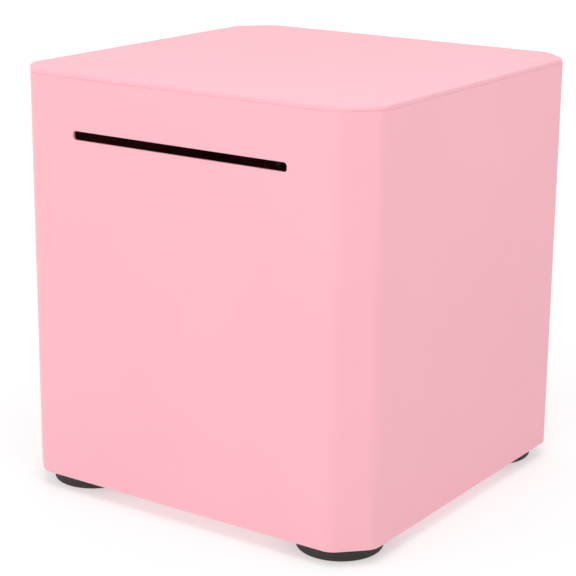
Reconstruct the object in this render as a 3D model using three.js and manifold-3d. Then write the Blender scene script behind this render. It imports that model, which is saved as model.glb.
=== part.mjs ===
// A steel cube money box: a folded wrap with a money slot, a welded top cover, a base plate on four
// rubber feet, and a lockable rear door on a piano hinge.
// Millimetres, +Z up. The origin is on the floor, under the middle of the box. The slot faces -Y.

import * as THREE from "three";
import { mergeVertices } from "three/addons/utils/BufferGeometryUtils.js";
import Module from "manifold-3d";

// ---- Driving dimensions ----------------------------------------------------------------------

// The box
const bodyWidth = 149; // across the slot face, along X
const bodyDepth = 148; // slot face to door side, along Y
const bodyHeight = 150; // lower edge of the wrap to the top of the cover
const sheet = 1.2; // coated steel sheet
const facetLeg = 11.2; // what each 45 degree corner facet takes off either face
const bendRadius = 7; // outside radius where a facet meets a face
const foldRadius = 1.8; // outside radius of the folds round the door opening

// The money slot
const slotWidth = 90;
const slotHeight = 3.2;
const slotDrop = 21.4; // slot centre below the top of the cover
const slotEndRadius = 1.2;

// The top cover and the base plate
const coverThickness = 1.5;
const coverRimRadius = 0.7; // rounding of the cover's upper edge
const coverCornerRadius = 9; // rounding of the cover's corners, seen from above
const skirtDepth = 8; // the cover's locating skirt, inside the wrap
const floorRecess = 0.6; // underside of the base plate above the lower edge of the wrap
const baseFlangeHeight = 10;

// The door opening
const jambWidth = 9; // rear strip of the wrap beside the door
const headerHeight = 12; // rear strip above the door, and the same below it
const stopLip = 5; // how far the door stops overlap the door
const flangeEndGap = 5; // inner ends of the jambs to the ends of the cover's and floor's flanges
const doorFlangeDepth = 10; // depth of the door's folded edge
const doorGap = 1; // above and below the door
const doorSideInset = 1; // hinge axis to the door's hinge-side edge

// The piano hinge
const pinRadius = 1;
const knuckleRadius = 2;
const leafThickness = 0.8;
const leafWidth = 11; // hinge axis to the free edge of a leaf
const knuckleCount = 9;
const hingeEndMargin = 10; // door edge to the end of the hinge
const leafRivetOffset = 6.5; // hinge axis to the rivet line
const rivetCount = 3;
const rivetEndMargin = 10; // end of the hinge to the first rivet
const rivetShankRadius = 1.5;
const rivetHeadRadius = 3;
const rivetHeadHeight = 1;
const rivetTailRadius = 2.4;
const rivetTailHeight = 0.8;

// The cam lock
const lockEdgeDistance = 18; // lock centre to the door's free edge
const lockHeadRadius = 11;
const lockHeadHeight = 2.1;
const lockBodyRadius = 9;
const lockFlatsHalf = 8.1; // half the distance across the barrel's two flats
const lockBodyLength = 14.5; // barrel behind the door's outer face
const lockNutAcrossFlats = 22;
const lockNutThickness = 4;
const lockWasherRadius = 12;
const lockWasherThickness = 1;
const plugRadius = 5.5;
const plugHeadRadius = 7;
const plugHeadHeight = 1.2;
const keywayWidth = 1.6;
const keywayHeight = 8;
const keywayDepth = 9;
const bossSide = 7; // square end of the plug that carries the cam
const camWidth = 12;
const camThickness = 2;
const catchOverlap = 5; // how far the cam reaches behind the jamb when locked
const camScrewRadius = 2.5;
const camScrewHeadRadius = 4.5;
const camScrewHeadHeight = 2.6;
const camScrewLength = 8; // under the head
const camWasherRadius = 6;
const camWasherThickness = 1;

// The feet
const footClearance = 5.9; // floor to the lower edge of the wrap
const footRadius = 15.2;
const footEdgeRadius = 1; // rounding of the foot's lower edge
const footInset = 19.5; // foot centre to either face of the box
const footRecessRadius = 6.6;
const footRecessDepth = 4.2;
const footWasherRadius = 6;
const footWasherThickness = 1;
const footScrewRadius = 2;
const footScrewHeadRadius = 4;
const footScrewHeadHeight = 2.3;
const footNutAcrossFlats = 7;
const footNutThickness = 3.2;
const threadProtrusion = 1; // screw beyond its nut
const crossRecessWidth = 1.1;
const crossRecessReach = 2.4; // half the length of a cross recess
const crossRecessDepth = 1.2;

// Clearances
const fitGap = 0.3; // between welded or nested sheets
const seatGap = 0.05; // under a head, washer or nut
const screwClearance = 0.2; // a screw or rivet in its hole, on the radius
const threadClearance = 0.1; // a screw in its nut, on the radius
const pinClearance = 0.1; // the hinge pin in its knuckles, on the radius
const plugClearance = 0.1; // the plug in the barrel, and the cam on its boss
const knuckleGap = 0.3; // between neighbouring knuckles
const swingClearance = 0.3; // the door's free edge past the jamb
const stopClearance = 0.4; // the closed door to its stops, and the cam to the jamb
const camGap = 0.2; // the barrel to the cam
const weldOverlap = 0.15; // a flange's run into the plate that it is one piece with

const roundSegments = 20; // of small turned pieces
const bigRoundSegments = 32; // of the feet and the lock head
const arcStep = Math.PI / 16; // of bends and rounded corners

// ---- Derived places --------------------------------------------------------------------------

const halfWidth = bodyWidth / 2;
const rearY = bodyDepth / 2;
const wrapBottom = footClearance;
const floorUnder = wrapBottom + floorRecess;
const floorTop = floorUnder + sheet;
const bodyTop = wrapBottom + bodyHeight;
const coverUnder = bodyTop - coverThickness;
const wrapTop = coverUnder - fitGap;
const slotZ = bodyTop - slotDrop;

const footWasherTop = footRecessDepth - seatGap;
const footHeadSeat = footWasherTop - footWasherThickness - seatGap;
const footNutUnder = floorTop + seatGap;
const footNutTop = footNutUnder + footNutThickness;
const screwEnd = footNutTop + threadProtrusion;

const openingHalf = halfWidth - facetLeg - jambWidth;
const openingTop = bodyTop - headerHeight;
const openingBottom = wrapBottom + headerHeight;

const hingeX = -openingHalf + fitGap + knuckleRadius;
const hingeY = rearY - knuckleRadius;
const doorFaceY = -knuckleRadius - fitGap; // outer face of the door, from the hinge axis
const doorBackY = doorFaceY - doorFlangeDepth;
const doorReach = Math.sqrt((openingHalf - hingeX - swingClearance) ** 2 - doorBackY ** 2);
const doorTop = openingTop - doorGap;
const doorBottom = openingBottom + doorGap;
const doorMiddle = (doorTop + doorBottom) / 2;
const hingeLength = doorTop - doorBottom - 2 * hingeEndMargin;
const stopY = hingeY + doorBackY - stopClearance; // face of the door stops

const lockX = doorReach - lockEdgeDistance; // lock centre, from the hinge axis
const barrelEnd = -lockBodyLength; // from the door's outer face
const camFront = barrelEnd - camGap;
const jambEnd = hingeY + doorFaceY + camFront + stopClearance;
const camReach = openingHalf - hingeX - lockX + sheet + catchOverlap;

// ---- Outlines --------------------------------------------------------------------------------

// The points of a line of straight runs, moved to its left by an offset, with an arc of its own
// radius at each corner. The arcs stay concentric, so a left turn's radius shrinks by the offset.
function roundedLine(corners, radii, offset = 0, closed = false) {
  const points = [];
  const count = corners.length;
  const runOf = (i) => corners[(i + 1) % count].clone().sub(corners[i]).normalize();
  const leftOf = (run) => new THREE.Vector2(-run.y, run.x);
  const endPoint = (i, run) => corners[i].clone().addScaledVector(leftOf(run), offset);
  if (!closed) points.push(endPoint(0, runOf(0)));
  for (let i = closed ? 0 : 1; i < (closed ? count : count - 1); i++) {
    const before = runOf((i + count - 1) % count);
    const after = runOf(i);
    const turn = Math.atan2(before.cross(after), before.dot(after));
    const side = Math.sign(turn);
    const radius = Math.max(radii[i] - side * offset, 0);
    const mitre = leftOf(before).add(leftOf(after)).multiplyScalar(offset / (1 + before.dot(after)));
    const centre = corners[i].clone().add(mitre);
    centre.addScaledVector(before, -radius * Math.tan(Math.abs(turn) / 2));
    centre.addScaledVector(leftOf(before), side * radius);
    const start = leftOf(before).multiplyScalar(-side).angle();
    const steps = Math.max(1, Math.round(Math.abs(turn) / arcStep));
    for (let k = 0; k <= steps; k++) {
      const angle = start + (turn * k) / steps;
      points.push(new THREE.Vector2(Math.cos(angle), Math.sin(angle)).multiplyScalar(radius).add(centre));
    }
  }
  if (!closed) points.push(endPoint(count - 1, runOf(count - 2)));
  return points;
}

const vectors = (pairs) => pairs.map(([x, y]) => new THREE.Vector2(x, y));

// The section of a folded sheet: the visible side of the sheet, and the same line one thickness away.
function foldedSection(corners, radii, thickness) {
  const visible = roundedLine(corners, radii);
  const hidden = roundedLine(corners, radii, thickness);
  return new THREE.Shape([...visible, ...hidden.reverse()]);
}

// The box's plan: a rectangle with a 45 degree facet at each corner, counter-clockwise.
function facetedPlan() {
  const x = halfWidth;
  const y = rearY;
  return vectors([
    [-x + facetLeg, -y], [x - facetLeg, -y], [x, -y + facetLeg], [x, y - facetLeg],
    [x - facetLeg, y], [-x + facetLeg, y], [-x, y - facetLeg], [-x, -y + facetLeg],
  ]);
}

function planOutline(inset, radius) {
  const plan = facetedPlan();
  return roundedLine(plan, plan.map(() => radius), inset, true);
}

function rectangleOutline(width, height, radius, inset = 0) {
  const x = width / 2;
  const y = height / 2;
  const corners = vectors([[-x, -y], [x, -y], [x, y], [-x, y]]);
  return roundedLine(corners, corners.map(() => radius), inset, true);
}

// ---- Solids ----------------------------------------------------------------------------------

const wasm = await Module();
wasm.setup();

// A closed geometry as a solid that can be joined and cut.
function solid(geometry) {
  const bare = geometry.clone();
  bare.deleteAttribute("normal");
  bare.deleteAttribute("uv");
  const merged = mergeVertices(bare, 1e-4);
  const vertProperties = new Float32Array(merged.attributes.position.array);
  const triVerts = new Uint32Array(merged.index.array);
  return new wasm.Manifold(new wasm.Mesh({ numProp: 3, vertProperties, triVerts }));
}

function geometryOf(body) {
  const { vertProperties, triVerts } = body.getMesh();
  const geometry = new THREE.BufferGeometry();
  geometry.setAttribute("position", new THREE.BufferAttribute(vertProperties, 3));
  geometry.setIndex(new THREE.BufferAttribute(triVerts, 1));
  geometry.computeVertexNormals();
  return geometry;
}

const joined = (bodies) => bodies.reduce((all, body) => all.add(body));
const cut = (body, tools) => tools.reduce((rest, tool) => rest.subtract(tool), body);

function block([x0, x1], [y0, y1], [z0, z1]) {
  const box = new THREE.BoxGeometry(x1 - x0, y1 - y0, z1 - z0);
  return solid(box.translate((x0 + x1) / 2, (y0 + y1) / 2, (z0 + z1) / 2));
}

// A shape drawn in X and Y, from one height to another.
function prism(shape, z0, z1) {
  const extruded = new THREE.ExtrudeGeometry(shape, {
    depth: z1 - z0,
    bevelEnabled: false,
    curveSegments: roundSegments / 2,
  });
  return solid(extruded.translate(0, 0, z0));
}

// A shape drawn in X and Z, from one depth to another.
function depthPrism(shape, y0, y1) {
  const extruded = new THREE.ExtrudeGeometry(shape, {
    depth: y1 - y0,
    bevelEnabled: false,
    curveSegments: roundSegments / 2,
  });
  return solid(extruded.rotateX(Math.PI / 2).translate(0, y1, 0));
}

// A shape drawn in Y and Z, from one width to another.
function widthPrism(shape, x0, x1) {
  const extruded = new THREE.ExtrudeGeometry(shape, { depth: x1 - x0, bevelEnabled: false });
  return solid(extruded.rotateX(Math.PI / 2).rotateZ(Math.PI / 2).translate(x0, 0, 0));
}

// A closed solid through a stack of outlines that have the same number of points.
function stacked(levels) {
  const count = levels[0].outline.length;
  const positions = levels.flatMap(({ outline, z }) => outline.flatMap((p) => [p.x, p.y, z]));
  const indices = [];
  for (let level = 0; level + 1 < levels.length; level++) {
    for (let i = 0; i < count; i++) {
      const a = level * count + i;
      const b = level * count + ((i + 1) % count);
      indices.push(a, b, b + count, a, b + count, a + count);
    }
  }
  const capOf = (level) => THREE.ShapeUtils.triangulateShape(levels[level].outline, []);
  for (const [a, b, c] of capOf(0)) indices.push(a, c, b);
  const top = (levels.length - 1) * count;
  for (const [a, b, c] of capOf(levels.length - 1)) indices.push(top + a, top + b, top + c);
  const geometry = new THREE.BufferGeometry();
  geometry.setAttribute("position", new THREE.Float32BufferAttribute(positions, 3));
  geometry.setIndex(indices);
  return solid(geometry);
}

// A plate whose upper edge is rounded by a quarter circle: outlineAt gives its outline at an inset.
function rimmedPlate(outlineAt, z0, z1, rimRadius) {
  const steps = 4;
  const levels = [{ outline: outlineAt(0), z: z0 }];
  for (let k = 0; k <= steps; k++) {
    const angle = (Math.PI / 2) * (k / steps);
    levels.push({
      outline: outlineAt(rimRadius * (1 - Math.cos(angle))),
      z: z1 - rimRadius + rimRadius * Math.sin(angle),
    });
  }
  return stacked(levels);
}

// A solid turned about Z, from a profile of [radius, height] pairs that runs up its outside.
function turned(profile, segments = roundSegments) {
  const lathe = new THREE.LatheGeometry(vectors(profile), segments);
  return solid(lathe.rotateX(Math.PI / 2));
}

const cylinder = (radius, z0, z1, segments = roundSegments) =>
  turned([[0, z0], [radius, z0], [radius, z1], [0, z1]], segments);

const alongX = (body) => body.rotate([0, 90, 0]); // +Z becomes +X
const alongY = (body) => body.rotate([-90, 0, 0]); // +Z becomes +Y

function hexagon(acrossFlats) {
  const corners = Array.from({ length: 6 }, (_, i) => {
    const angle = (Math.PI / 3) * i;
    return new THREE.Vector2(Math.cos(angle), Math.sin(angle));
  });
  return new THREE.Shape(corners.map((p) => p.multiplyScalar(acrossFlats / Math.sqrt(3))));
}

const hexNut = (acrossFlats, boreRadius, z0, z1, segments = roundSegments) =>
  prism(hexagon(acrossFlats), z0, z1).subtract(cylinder(boreRadius, z0 - 1, z1 + 1, segments));

const washer = (outerRadius, boreRadius, z0, z1) =>
  cylinder(outerRadius, z0, z1).subtract(cylinder(boreRadius, z0 - 1, z1 + 1));

// Two crossed grooves in a screw head, downwards from its face.
function crossRecess(faceZ, depthSign) {
  const z = [faceZ - depthSign * crossRecessDepth, faceZ + depthSign].sort((a, b) => a - b);
  const reach = [-crossRecessReach, crossRecessReach];
  const width = [-crossRecessWidth / 2, crossRecessWidth / 2];
  return [block(reach, width, z), block(width, reach, z)];
}

// A pan-head screw with its head below z = 0 and its shank above.
function panScrew({ shankRadius, length, headRadius, headHeight }) {
  const crown = headHeight * 0.35; // rise of the domed face
  const screw = turned([
    [0, -headHeight],
    [headRadius * 0.6, -headHeight + crown * 0.2],
    [headRadius * 0.92, -headHeight + crown],
    [headRadius, -headHeight + 2 * crown],
    [headRadius, 0],
    [shankRadius, 0],
    [shankRadius, length - shankRadius * 0.3],
    [shankRadius * 0.7, length],
    [0, length],
  ]);
  return cut(screw, crossRecess(-headHeight, -1));
}

// A set rivet along Z. Its domed head is above z = 0, and its tail is a grip length below.
function rivet(grip) {
  const head = seatGap;
  const tail = -grip - seatGap;
  return turned([
    [0, tail - rivetTailHeight],
    [rivetTailRadius * 0.8, tail - rivetTailHeight],
    [rivetTailRadius, tail - rivetTailHeight * 0.6],
    [rivetTailRadius, tail],
    [rivetShankRadius, tail],
    [rivetShankRadius, head],
    [rivetHeadRadius, head],
    [rivetHeadRadius * 0.88, head + rivetHeadHeight * 0.55],
    [rivetHeadRadius * 0.5, head + rivetHeadHeight * 0.92],
    [0, head + rivetHeadHeight],
  ]);
}

// ---- Materials -------------------------------------------------------------------------------

const finish = (color, roughness, metalness) => (
  new THREE.MeshStandardMaterial({ color, roughness, metalness })
);
const pinkCoat = () => finish(0xf9b8c3, 0.5, 0.0);
const blackRubber = () => finish(0x2b2928, 0.85, 0.0);
const zincPlate = () => finish(0xb9bcc0, 0.35, 1.0);
const nickelPlate = () => finish(0xc9c7c1, 0.22, 1.0);

function part(name, body, material) {
  const mesh = new THREE.Mesh(geometryOf(body), material);
  mesh.name = name;
  return mesh;
}

// ---- The case --------------------------------------------------------------------------------

// Heights of the rivets that hold either hinge leaf
const rivetHeights = Array.from({ length: rivetCount }, (_, i) => {
  const span = hingeLength - 2 * rivetEndMargin;
  return doorMiddle - span / 2 + (span * i) / (rivetCount - 1);
});

// One sheet folded round the box: jamb, rear strip, side, front, side, rear strip, jamb.
// The jambs are cut short at the bottom, to clear the base plate and the nuts of the rear feet.
function bodyWrap() {
  const x = halfWidth;
  const y = rearY;
  const corners = vectors([
    [-openingHalf, jambEnd], [-openingHalf, y], [-x + facetLeg, y], [-x, y - facetLeg],
    [-x, -y + facetLeg], [-x + facetLeg, -y], [x - facetLeg, -y], [x, -y + facetLeg],
    [x, y - facetLeg], [x - facetLeg, y], [openingHalf, y], [openingHalf, jambEnd],
  ]);
  const radii = corners.map(({ x: cornerX }) => (
    Math.abs(cornerX) === openingHalf ? foldRadius : bendRadius
  ));
  const wrap = prism(foldedSection(corners, radii, sheet), wrapBottom, wrapTop);
  const slot = depthPrism(
    new THREE.Shape(rectangleOutline(slotWidth, slotHeight, slotEndRadius)),
    -rearY - sheet,
    -rearY + 2 * sheet,
  ).translate([0, 0, slotZ]);
  const holes = rivetHeights.map((z) =>
    alongX(cylinder(rivetShankRadius + screwClearance, -2 * sheet, sheet)).translate([
      -openingHalf, hingeY - leafRivetOffset, z,
    ]),
  );
  const floorRelief = block(
    [-openingHalf - 2 * sheet, openingHalf + 2 * sheet],
    [jambEnd - sheet, rearY - sheet - fitGap],
    [wrapBottom - 1, screwEnd + fitGap],
  );
  return cut(wrap, [slot, floorRelief, ...holes]);
}

// A band just inside the wrap, along the front and both sides.
function innerFlange(z0, z1) {
  const outer = sheet + fitGap;
  const ring = prism(new THREE.Shape(planOutline(outer, bendRadius)), z0, z1);
  const inside = prism(new THREE.Shape(planOutline(outer + sheet, bendRadius)), z0 - 1, z1 + 1);
  const behindJambs = block([-bodyWidth, bodyWidth], [jambEnd - flangeEndGap, bodyDepth], [z0 - 1, z1 + 1]);
  return cut(ring, [inside, behindJambs]);
}

// The strip above or below the door opening, returned inwards and folded into a door stop.
// start is where it leaves its plate, edgeZ the edge of the opening, and away points at the opening.
function doorStrip(start, edgeZ, away) {
  const corners = vectors([...start, [rearY, edgeZ], [stopY, edgeZ], [stopY, edgeZ + away * stopLip]]);
  const radii = [0, ...start.slice(1).map(() => foldRadius), foldRadius, foldRadius - sheet, 0];
  const half = openingHalf - fitGap;
  return widthPrism(foldedSection(corners, radii, away * sheet), -half, half);
}

function topCover() {
  const plate = rimmedPlate(
    (inset) => planOutline(inset, coverCornerRadius), coverUnder, bodyTop, coverRimRadius,
  );
  return joined([
    plate,
    innerFlange(coverUnder - skirtDepth, coverUnder + weldOverlap),
    doorStrip([[rearY, coverUnder + weldOverlap]], openingTop, -1),
  ]);
}

const footPlaces = [
  { name: "front_left", x: -1, y: -1 },
  { name: "front_right", x: 1, y: -1 },
  { name: "rear_left", x: -1, y: 1 },
  { name: "rear_right", x: 1, y: 1 },
].map(({ name, x, y }) => ({ name, x: x * (halfWidth - footInset), y: y * (rearY - footInset) }));

function basePlate() {
  const inset = sheet + fitGap;
  const floor = prism(new THREE.Shape(planOutline(inset, bendRadius)), floorUnder, floorTop);
  const half = openingHalf - fitGap;
  const tongue = block([-half, half], [0, rearY - 2 * foldRadius], [floorUnder, floorTop]);
  const holes = footPlaces.map(({ x, y }) =>
    cylinder(footScrewRadius + screwClearance, floorUnder - 1, floorTop + 1).translate([x, y, 0]),
  );
  const flange = innerFlange(floorUnder, floorTop + baseFlangeHeight);
  const sill = doorStrip([[rearY - 3 * foldRadius, floorUnder], [rearY, floorUnder]], openingBottom, 1);
  return cut(joined([floor, tongue, flange, sill]), holes);
}

const caseGroup = new THREE.Group();
caseGroup.add(part("body_wrap", bodyWrap(), pinkCoat()));
caseGroup.add(part("top_cover", topCover(), pinkCoat()));
caseGroup.add(part("base_plate", basePlate(), pinkCoat()));

// ---- The feet, each in a group on the floor under its screw --------------------------------------

function rubberFoot() {
  const top = floorUnder - seatGap;
  const edge = footEdgeRadius;
  const arc = [0.3, 0.7, 1].map((share) => {
    const angle = (Math.PI / 2) * share;
    return [footRadius - edge + edge * Math.sin(angle), edge - edge * Math.cos(angle)];
  });
  return turned(
    [
      [footRecessRadius, footRecessDepth],
      [footRecessRadius, 0],
      [footRadius - edge, 0],
      ...arc,
      [footRadius, top],
      [footScrewRadius + screwClearance, top],
      [footScrewRadius + screwClearance, footRecessDepth],
      [footRecessRadius, footRecessDepth],
    ],
    bigRoundSegments,
  );
}

function footPieces() {
  return {
    foot: [rubberFoot(), blackRubber()],
    foot_washer: [
      washer(
        footWasherRadius, footScrewRadius + screwClearance,
        footWasherTop - footWasherThickness, footWasherTop,
      ),
      zincPlate(),
    ],
    foot_screw: [
      panScrew({
        shankRadius: footScrewRadius,
        length: screwEnd - footHeadSeat,
        headRadius: footScrewHeadRadius,
        headHeight: footScrewHeadHeight,
      }).translate([0, 0, footHeadSeat]),
      zincPlate(),
    ],
    foot_nut: [
      hexNut(footNutAcrossFlats, footScrewRadius + threadClearance, footNutUnder, footNutTop),
      zincPlate(),
    ],
  };
}

for (const place of footPlaces) {
  const group = new THREE.Group();
  group.position.set(place.x, place.y, 0);
  for (const [name, [body, material]] of Object.entries(footPieces())) {
    group.add(part(`${name}_${place.name}`, body, material));
  }
  caseGroup.add(group);
}

// ---- The hinge, in a group whose Z axis is the hinge pin ------------------------------------------

const hingeBottom = doorMiddle - hingeLength / 2;
const knucklePitch = hingeLength / knuckleCount;

// A leaf's flat, less the notches for the other leaf's knuckles, plus its own bored knuckles.
// ownFirst is 0 for the leaf that has the end knuckles, and 1 for the other.
function hingeLeaf(flat, ownFirst, holes) {
  const room = knuckleRadius + fitGap;
  const notches = [];
  const knuckles = [];
  for (let i = 0; i < knuckleCount; i++) {
    const low = hingeBottom + i * knucklePitch;
    const high = low + knucklePitch;
    if (i % 2 === ownFirst) {
      knuckles.push(cylinder(knuckleRadius, low + knuckleGap / 2, high - knuckleGap / 2));
    } else {
      notches.push(block([-room, room], [-room, room], [low - knuckleGap / 2, high + knuckleGap / 2]));
    }
  }
  const bore = cylinder(pinRadius + pinClearance, hingeBottom - 1, hingeBottom + hingeLength + 1);
  return cut(joined([cut(flat, notches), ...knuckles]), [bore, ...holes]);
}

const hingeHeights = [hingeBottom + knuckleGap / 2, hingeBottom + hingeLength - knuckleGap / 2];
const leafHoleRadius = rivetShankRadius + screwClearance;

function caseLeaf() {
  const flat = block([-knuckleRadius, -knuckleRadius + leafThickness], [-leafWidth, 0], hingeHeights);
  const holes = rivetHeights.map((z) =>
    alongX(cylinder(leafHoleRadius, -2 * knuckleRadius, 0)).translate([0, -leafRivetOffset, z]),
  );
  return hingeLeaf(flat, 0, holes);
}

function doorLeaf() {
  const flat = block([0, leafWidth], [-knuckleRadius, -knuckleRadius + leafThickness], hingeHeights);
  const holes = rivetHeights.map((z) =>
    alongY(cylinder(leafHoleRadius, -2 * knuckleRadius, 0)).translate([leafRivetOffset, 0, z]),
  );
  return hingeLeaf(flat, 1, holes);
}

const rivetGrip = leafThickness + fitGap + sheet;
const leafFace = -knuckleRadius + leafThickness;

const hingeGroup = new THREE.Group();
hingeGroup.position.set(hingeX, hingeY, 0);
hingeGroup.add(part("hinge_leaf_case", caseLeaf(), zincPlate()));
hingeGroup.add(part("hinge_pin", cylinder(pinRadius, ...hingeHeights), zincPlate()));
rivetHeights.forEach((z, i) => {
  const body = alongX(rivet(rivetGrip)).translate([leafFace, -leafRivetOffset, z]);
  hingeGroup.add(part(`case_rivet_${i + 1}`, body, zincPlate()));
});
caseGroup.add(hingeGroup);

// ---- The door, in a group whose Z axis is the hinge pin -------------------------------------------

const lockHole = (margin, y0, y1) => barrelSection(lockBodyRadius + margin, lockFlatsHalf + margin, y0, y1);

// A cylinder along Y with two upright flats, about the lock's axis.
function barrelSection(radius, flatsHalf, y0, y1) {
  const round = alongY(cylinder(radius, y0, y1, bigRoundSegments));
  return round.intersect(block([-flatsHalf, flatsHalf], [y0 - 1, y1 + 1], [-2 * radius, 2 * radius]));
}

// A tray pressed from sheet: a flat face with its four edges folded inwards.
function doorPanel() {
  const width = doorReach - doorSideInset;
  const height = doorTop - doorBottom;
  const plate = rimmedPlate(
    (inset) => rectangleOutline(width, height, foldRadius, inset), doorBackY, doorFaceY, foldRadius,
  );
  const innerRadius = Math.max(foldRadius - sheet, 0.5);
  const hollow = new THREE.Shape(rectangleOutline(width - 2 * sheet, height - 2 * sheet, innerRadius));
  const tray = plate.subtract(prism(hollow, doorBackY - 1, doorFaceY - sheet));
  const placed = alongY(tray).translate([doorSideInset + width / 2, 0, doorMiddle]);
  const rivetHoles = rivetHeights.map((z) =>
    alongY(cylinder(leafHoleRadius, doorFaceY - 2 * sheet, 0)).translate([leafRivetOffset, 0, z]),
  );
  const hole = lockHole(screwClearance, doorFaceY - 2 * sheet, doorFaceY + 1)
    .translate([lockX, 0, doorMiddle]);
  return cut(placed, [hole, ...rivetHoles]);
}

const doorGroup = new THREE.Group();
doorGroup.position.set(hingeX, hingeY, 0);
doorGroup.add(part("door_panel", doorPanel(), pinkCoat()));
doorGroup.add(part("hinge_leaf_door", doorLeaf(), zincPlate()));
rivetHeights.forEach((z, i) => {
  const body = alongY(rivet(rivetGrip)).translate([leafRivetOffset, leafFace, z]);
  doorGroup.add(part(`door_rivet_${i + 1}`, body, zincPlate()));
});

// ---- The cam lock, in a group on the lock's axis at the door's outer face --------------------------

function lockBarrel() {
  const rim = 0.5; // bevel of the head's edge
  const head = turned(
    [
      [0, seatGap],
      [lockHeadRadius, seatGap],
      [lockHeadRadius, seatGap + lockHeadHeight - rim],
      [lockHeadRadius - rim, seatGap + lockHeadHeight],
      [0, seatGap + lockHeadHeight],
    ],
    bigRoundSegments,
  );
  const body = barrelSection(lockBodyRadius, lockFlatsHalf, barrelEnd, seatGap + 1);
  const bore = cylinder(plugRadius + plugClearance, barrelEnd - 1, lockHeadHeight + 1);
  const headRoom = cylinder(
    plugHeadRadius + plugClearance, plugHeadSeat - plugClearance, lockHeadHeight + 1, bigRoundSegments,
  );
  return cut(alongY(head).add(body), [alongY(bore), alongY(headRoom)]);
}

const plugFace = seatGap + lockHeadHeight - 0.2; // just below the barrel's face
const plugHeadSeat = plugFace - plugHeadHeight;
const camBack = camFront - camThickness;
const bossEnd = camBack + plugClearance;
const camWasherFront = camBack - seatGap;
const camWasherBack = camWasherFront - camWasherThickness;
const camHeadSeat = camWasherBack - seatGap;

function lockPlug() {
  const edge = 0.3; // bevel of the plug's face
  const body = turned([
    [0, barrelEnd],
    [plugRadius, barrelEnd],
    [plugRadius, plugHeadSeat],
    [plugHeadRadius, plugHeadSeat],
    [plugHeadRadius, plugFace - edge],
    [plugHeadRadius - edge, plugFace],
    [0, plugFace],
  ]);
  const half = bossSide / 2;
  const boss = block([-half, half], [bossEnd, barrelEnd + 1], [-half, half]);
  const keyway = block(
    [-keywayWidth / 2, keywayWidth / 2],
    [plugFace - keywayDepth, plugFace + 1],
    [-keywayHeight / 2, keywayHeight / 2],
  );
  const screwHole = cylinder(
    camScrewRadius + threadClearance, bossEnd - 1, camHeadSeat + camScrewLength + threadProtrusion,
  );
  return cut(alongY(body).add(boss), [keyway, alongY(screwHole)]);
}

// A flat lever with round ends, upright while the lock is open.
function lockCam() {
  const radius = camWidth / 2;
  const lever = new THREE.Shape();
  lever.absarc(0, 0, radius, Math.PI, 2 * Math.PI, false);
  lever.absarc(0, camReach - radius, radius, 0, Math.PI, false);
  lever.closePath();
  const half = bossSide / 2 + plugClearance;
  const square = block([-half, half], [camBack - 1, camFront + 1], [-half, half]);
  return depthPrism(lever, camBack, camFront).subtract(square);
}

const backwards = (body) => body.rotate([-90, 0, 0]).translate([0, camHeadSeat, 0]); // head at -Y

const lockNutFront = -sheet - lockWasherThickness - 2 * seatGap;
const lockNutBack = lockNutFront - lockNutThickness;
const threadRoom = lockBodyRadius + threadClearance;
const doorFaceGroup = new THREE.Group();
doorFaceGroup.position.set(lockX, doorFaceY, doorMiddle);
doorFaceGroup.add(part("lock_barrel", lockBarrel(), nickelPlate()));
doorFaceGroup.add(
  part(
    "lock_washer",
    alongY(cylinder(lockWasherRadius, -sheet - seatGap - lockWasherThickness, -sheet - seatGap)).subtract(
      lockHole(screwClearance, -2 * lockNutThickness, 0),
    ),
    zincPlate(),
  ),
);
doorFaceGroup.add(
  part(
    "lock_nut",
    alongY(hexNut(lockNutAcrossFlats, threadRoom, lockNutBack, lockNutFront, bigRoundSegments)),
    zincPlate(),
  ),
);

const lockGroup = new THREE.Group();
lockGroup.add(part("lock_plug", lockPlug(), nickelPlate()));
lockGroup.add(part("lock_cam", lockCam(), zincPlate()));
lockGroup.add(
  part(
    "cam_washer",
    alongY(washer(camWasherRadius, camScrewRadius + screwClearance, camWasherBack, camWasherFront)),
    zincPlate(),
  ),
);
lockGroup.add(
  part(
    "cam_screw",
    backwards(
      panScrew({
        shankRadius: camScrewRadius,
        length: camScrewLength,
        headRadius: camScrewHeadRadius,
        headHeight: camScrewHeadHeight,
      }),
    ),
    zincPlate(),
  ),
);
doorFaceGroup.add(lockGroup);
doorGroup.add(doorFaceGroup);

// ---- The money box ---------------------------------------------------------------------------

const moneyBox = new THREE.Group();
moneyBox.add(caseGroup, doorGroup);

export default moneyBox;
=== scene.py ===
"""A cube money box of folded, powder-coated sheet steel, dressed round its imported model.

Every visible piece is made here as a surface worked out on a grid of numbers, in metres, +Z up. The
origin is on the floor under the middle of the box, the money slot faces -Y and the door faces +Y.
"""

import math

import bmesh
import bpy
import numpy as np
from bpy.props import FloatProperty, FloatVectorProperty, IntProperty, PointerProperty
from mathutils import Matrix, Vector
from mathutils.geometry import tessellate_polygon


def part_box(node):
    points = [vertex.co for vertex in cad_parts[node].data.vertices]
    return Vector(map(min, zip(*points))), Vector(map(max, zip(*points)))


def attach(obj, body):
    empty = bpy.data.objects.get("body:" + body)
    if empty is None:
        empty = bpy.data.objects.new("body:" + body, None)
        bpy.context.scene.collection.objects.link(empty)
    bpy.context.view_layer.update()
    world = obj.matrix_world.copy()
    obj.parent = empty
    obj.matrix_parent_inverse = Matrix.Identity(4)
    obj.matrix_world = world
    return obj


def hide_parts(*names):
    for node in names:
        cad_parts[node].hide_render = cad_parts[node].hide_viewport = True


bl_info = {
    "name": "Steel money box",
    "version": (1, 0, 0),
    "blender": (4, 5, 0),
    "location": "View3D > Sidebar > Money box",
    "description": "Builds the pieces of a sheet-steel cube money box and its studio",
    "category": "Object",
}

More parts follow.
